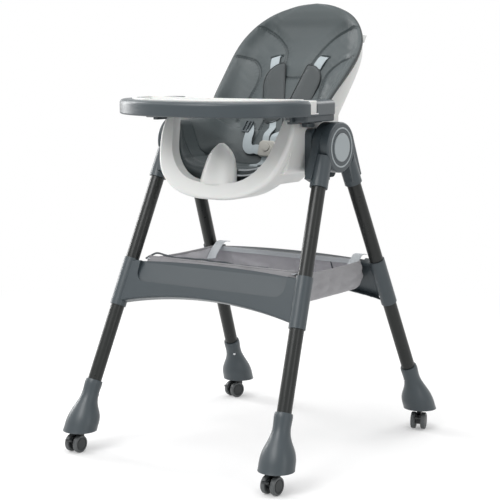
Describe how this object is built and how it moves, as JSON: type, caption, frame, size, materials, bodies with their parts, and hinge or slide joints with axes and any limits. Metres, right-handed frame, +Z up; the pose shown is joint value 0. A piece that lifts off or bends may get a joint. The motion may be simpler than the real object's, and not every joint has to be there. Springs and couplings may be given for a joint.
{
  "type": "baby high chair",
  "caption": "Folding baby high chair: A-shaped tube frame on casters, reclining padded seat with harness, sliding tray with lift-off insert, fabric basket below.",
  "frame": {"origin": "on the floor, midway between the four feet", "axes": "+Z up, the child faces -Y, +X to the right of someone facing the chair from its front"},
  "size_m": [0.6244, 0.7083, 1.0232],
  "materials": {
    "tube_metal": "satin powder coat",
    "slate_plastic": "fine satin",
    "pale_plastic": "smooth",
    "light_grey_plastic": "satin",
    "pad_leather": "soft satin",
    "webbing": "woven",
    "basket_fabric": "plain weave",
    "buckle_plastic": "smooth",
    "black_plastic": "satin",
    "wheel_rubber": "satin",
    "bright_steel": "satin"
  },
  "bodies": {
    "front_frame": {"front_leg_left": "tube_metal", "front_leg_right": "tube_metal", "front_foot_left": "slate_plastic", "front_foot_right": "slate_plastic", "front_crossbar": "slate_plastic", "front_snaps": "bright_steel", "hub_front_left": "slate_plastic", "hub_front_right": "slate_plastic", "hub_axles": "bright_steel", "seat_brackets": "slate_plastic", "seat_shell": "pale_plastic", "seat_pad": "pad_leather", "crotch_strap": "webbing", "buckle": "buckle_plastic", "strap_sliders": "slate_plastic", "harness_webbing": "webbing", "basket": "basket_fabric", "basket_straps": "webbing"},
    "rear_frame": {"rear_leg_left": "tube_metal", "rear_leg_right": "tube_metal", "rear_foot_left": "slate_plastic", "rear_foot_right": "slate_plastic", "rear_crossbar": "slate_plastic", "rear_snaps": "bright_steel", "hub_rear_left": "slate_plastic", "hub_rear_right": "slate_plastic", "hub_rings": "light_grey_plastic", "hub_spring_left": "bright_steel", "hub_spring_right": "bright_steel"},
    "backrest": {"backrest_shell": "pale_plastic", "back_pad": "pad_leather", "shoulder_pads": "pad_leather", "shoulder_webbing": "webbing", "waist_adjusters": "slate_plastic"},
    "recline_lever": {"recline_lever": "slate_plastic"},
    "tray": {"tray_body": "slate_plastic"},
    "tray_insert": {"tray_insert": "pale_plastic"},
    "tray_latch_left": {"tray_latch_left": "slate_plastic"},
    "tray_latch_right": {"tray_latch_right": "slate_plastic"},
    "hub_button_left": {"hub_button_left": "light_grey_plastic"},
    "hub_button_right": {"hub_button_right": "light_grey_plastic"},
    "buckle_button": {"buckle_button": "buckle_plastic"},
    "caster_front_left": {"caster_fork_front_left": "black_plastic"},
    "wheels_front_left": {"caster_wheels_front_left": "wheel_rubber"},
    "brake_front_left": {"caster_brake_front_left": "black_plastic"},
    "caster_front_right": {"caster_fork_front_right": "black_plastic"},
    "wheels_front_right": {"caster_wheels_front_right": "wheel_rubber"},
    "brake_front_right": {"caster_brake_front_right": "black_plastic"},
    "caster_rear_left": {"caster_fork_rear_left": "black_plastic"},
    "wheels_rear_left": {"caster_wheels_rear_left": "wheel_rubber"},
    "brake_rear_left": {"caster_brake_rear_left": "black_plastic"},
    "caster_rear_right": {"caster_fork_rear_right": "black_plastic"},
    "wheels_rear_right": {"caster_wheels_rear_right": "wheel_rubber"},
    "brake_rear_right": {"caster_brake_rear_right": "black_plastic"}
  },
  "joints": [
    {"name": "fold", "type": "hinge", "parent": "front_frame", "child": "rear_frame", "pos_m": [0, -0.008, 0.7], "axis": [-1, 0, 0], "range_deg": [0, 38], "deforming": ["basket", "basket_straps"]},
    {"name": "recline", "type": "hinge", "parent": "front_frame", "child": "backrest", "pos_m": [0, 0.062, 0.668], "axis": [-1, 0, 0], "range_deg": [-12, 15], "deforming": ["harness_webbing"]},
    {"name": "recline_lever", "type": "slide", "parent": "backrest", "child": "recline_lever", "axis": [0, 0.5446, 0.8387], "range_m": [0, 0.006], "stiffness_N_per_m": 500, "springref_m": -0.002},
    {"name": "tray_slide", "type": "slide", "parent": "front_frame", "child": "tray", "axis": [0, -1, 0], "range_m": [0, 0.075]},
    {"name": "tray_insert_lift", "type": "slide", "parent": "tray", "child": "tray_insert", "axis": [0, 0, 1], "range_m": [0, 0.06]},
    {"name": "tray_latch_left", "type": "slide", "parent": "tray", "child": "tray_latch_left", "axis": [-1, 0, 0], "range_m": [0, 0.004], "stiffness_N_per_m": 400, "springref_m": -0.002},
    {"name": "tray_latch_right", "type": "slide", "parent": "tray", "child": "tray_latch_right", "axis": [1, 0, 0], "range_m": [0, 0.004], "stiffness_N_per_m": 400, "springref_m": -0.002},
    {"name": "hub_button_left", "type": "slide", "parent": "rear_frame", "child": "hub_button_left", "axis": [1, 0, 0], "range_m": [0, 0.004], "stiffness_N_per_m": 600, "springref_m": -0.002, "deforming": ["hub_spring_left"]},
    {"name": "hub_button_right", "type": "slide", "parent": "rear_frame", "child": "hub_button_right", "axis": [-1, 0, 0], "range_m": [0, 0.004], "stiffness_N_per_m": 600, "springref_m": -0.002, "deforming": ["hub_spring_right"]},
    {"name": "buckle_button", "type": "slide", "parent": "front_frame", "child": "buckle_button", "axis": [0, 0.9397, -0.342], "range_m": [0, 0.0025], "stiffness_N_per_m": 500, "springref_m": -0.001},
    {"name": "swivel_front_left", "type": "hinge", "parent": "front_frame", "child": "caster_front_left", "pos_m": [-0.27225, -0.31385, 0.05], "axis": [0, 0, 1], "continuous": true},
    {"name": "roll_front_left", "type": "hinge", "parent": "caster_front_left", "child": "wheels_front_left", "pos_m": [-0.27225, -0.32785, 0.02], "axis": [1, 0, 0], "continuous": true},
    {"name": "brake_front_left", "type": "hinge", "parent": "caster_front_left", "child": "brake_front_left", "pos_m": [-0.27225, -0.32785, 0.031], "axis": [1, 0, 0], "range_deg": [0, 12]},
    {"name": "swivel_front_right", "type": "hinge", "parent": "front_frame", "child": "caster_front_right", "pos_m": [0.27225, -0.31385, 0.05], "axis": [0, 0, 1], "continuous": true},
    {"name": "roll_front_right", "type": "hinge", "parent": "caster_front_right", "child": "wheels_front_right", "pos_m": [0.27176, -0.32784, 0.02], "axis": [0.9994, -0.0349, 0], "continuous": true},
    {"name": "brake_front_right", "type": "hinge", "parent": "caster_front_right", "child": "brake_front_right", "pos_m": [0.27176, -0.32784, 0.031], "axis": [0.9994, -0.0349, 0], "range_deg": [0, 12]},
    {"name": "swivel_rear_left", "type": "hinge", "parent": "rear_frame", "child": "caster_rear_left", "pos_m": [-0.27225, 0.31378, 0.05], "axis": [0, 0, 1], "continuous": true},
    {"name": "roll_rear_left", "type": "hinge", "parent": "caster_rear_left", "child": "wheels_rear_left", "pos_m": [-0.27657, 0.30046, 0.02], "axis": [0.9511, -0.309, 0], "continuous": true},
    {"name": "brake_rear_left", "type": "hinge", "parent": "caster_rear_left", "child": "brake_rear_left", "pos_m": [-0.27657, 0.30046, 0.031], "axis": [0.9511, -0.309, 0], "range_deg": [0, 12]},
    {"name": "swivel_rear_right", "type": "hinge", "parent": "rear_frame", "child": "caster_rear_right", "pos_m": [0.27225, 0.31378, 0.05], "axis": [0, 0, 1], "continuous": true},
    {"name": "roll_rear_right", "type": "hinge", "parent": "caster_rear_right", "child": "wheels_rear_right", "pos_m": [0.27657, 0.30046, 0.02], "axis": [0.9511, 0.309, 0], "continuous": true},
    {"name": "brake_rear_right", "type": "hinge", "parent": "caster_rear_right", "child": "brake_rear_right", "pos_m": [0.27657, 0.30046, 0.031], "axis": [0.9511, 0.309, 0], "range_deg": [0, 12]}
  ]
}
